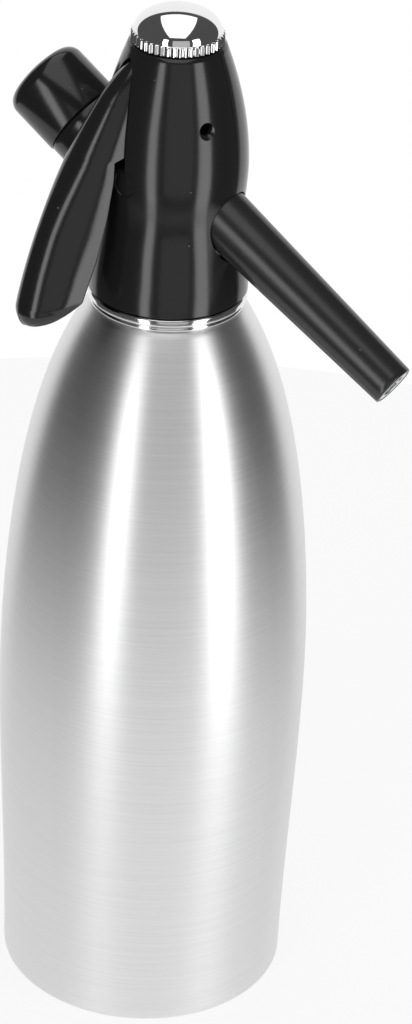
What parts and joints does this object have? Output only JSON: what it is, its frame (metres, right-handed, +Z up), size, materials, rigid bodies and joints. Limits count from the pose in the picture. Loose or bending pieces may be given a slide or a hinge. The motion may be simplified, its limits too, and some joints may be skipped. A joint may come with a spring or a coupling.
{
  "type": "soda siphon",
  "caption": "Metal siphon bottle with a domed plastic head, squeeze lever, sloping spout, screw-on gas charger holder and knurled dome cap.",
  "frame": {"origin": "centre of the bottle's flat base", "axes": "+Z up the bottle's axis, +X the side the spout points to, -X the charger holder; the lever is 120 degrees from the spout towards -Y"},
  "size_m": [0.1346, 0.095, 0.328],
  "materials": {
    "brushed_aluminium": "brushed round the bottle",
    "polished_ring": "polished, with a groove",
    "chrome": "mirror chrome",
    "gloss_black": "high gloss moulded",
    "satin_black": "satin moulded",
    "cast_metal": "die cast",
    "steel": "turned",
    "zinc_steel": "zinc plated, drawn",
    "black_rubber": "moulded",
    "grey_plastic": "moulded",
    "clear_tube": "translucent extruded"
  },
  "bodies": {
    "bottle": {"bottle": "brushed_aluminium"},
    "collar": {"neck_collar": "polished_ring"},
    "head": {"head_gasket": "black_rubber", "head_core": "cast_metal", "thread_ring": "cast_metal", "left_shell": "gloss_black", "right_shell": "gloss_black", "shell_screws": "steel", "screw_plugs": "gloss_black", "lever_pin": "steel", "stem_seal": "black_rubber", "dip_tube": "clear_tube", "tube_nut": "grey_plastic", "spout_sleeve": "satin_black", "spout_liner": "steel", "spout_seal": "black_rubber", "charger_seal": "black_rubber", "piercing_pin": "steel", "check_valve": "black_rubber"},
    "lever": {"lever": "gloss_black"},
    "valve": {"lift_bar": "steel", "valve_stem": "steel", "valve_disc": "black_rubber", "valve_spring": "steel"},
    "charger": {"gas_charger": "zinc_steel"},
    "holder": {"charger_holder": "gloss_black"},
    "washer": {"cap_washer": "black_rubber"},
    "dome": {"dome_cap": "chrome"}
  },
  "joints": [
    {"name": "head_lift", "type": "slide", "parent": "bottle", "child": "collar", "axis": [0, 0, 1], "range_m": [0, 0.0045]},
    {"name": "head_turn", "type": "hinge", "parent": "collar", "child": "head", "pos_m": [0, 0, 0.25], "axis": [0, 0, 1], "range_deg": [0, 541]},
    {"name": "lever_squeeze", "type": "hinge", "parent": "head", "child": "lever", "pos_m": [0, 0, 0.298], "axis": [0.866, -0.5, 0], "range_deg": [0, 6], "stiffness_Nm_per_rad": 0.5, "springref_deg": -34.38},
    {"name": "valve_lift", "type": "slide", "parent": "head", "child": "valve", "axis": [0, 0, 1], "range_m": [0, 0.0009], "deforming": ["valve_spring"]},
    {"name": "charger_slide", "type": "slide", "parent": "head", "child": "charger", "axis": [-0.8358, 0, 0.549], "range_m": [0, 0.006]},
    {"name": "holder_turn", "type": "hinge", "parent": "charger", "child": "holder", "pos_m": [-0.03761, 0, 0.28821], "axis": [-0.8358, 0, 0.549], "range_deg": [0, 1441]},
    {"name": "washer_lift", "type": "slide", "parent": "head", "child": "washer", "axis": [0, 0, 1], "range_m": [0, 0.003]},
    {"name": "cap_turn", "type": "hinge", "parent": "washer", "child": "dome", "pos_m": [0, 0, 0.32], "axis": [0, 0, 1], "range_deg": [0, 721]}
  ],
  "couplings": [
    {"joint": "head_turn", "follows": "head_lift", "rad_per_m": 2094.4},
    {"joint": "valve_lift", "follows": "lever_squeeze", "m_per_rad": 0.008},
    {"joint": "holder_turn", "follows": "charger_slide", "rad_per_m": 4188.8},
    {"joint": "cap_turn", "follows": "washer_lift", "rad_per_m": 4188.8}
  ]
}
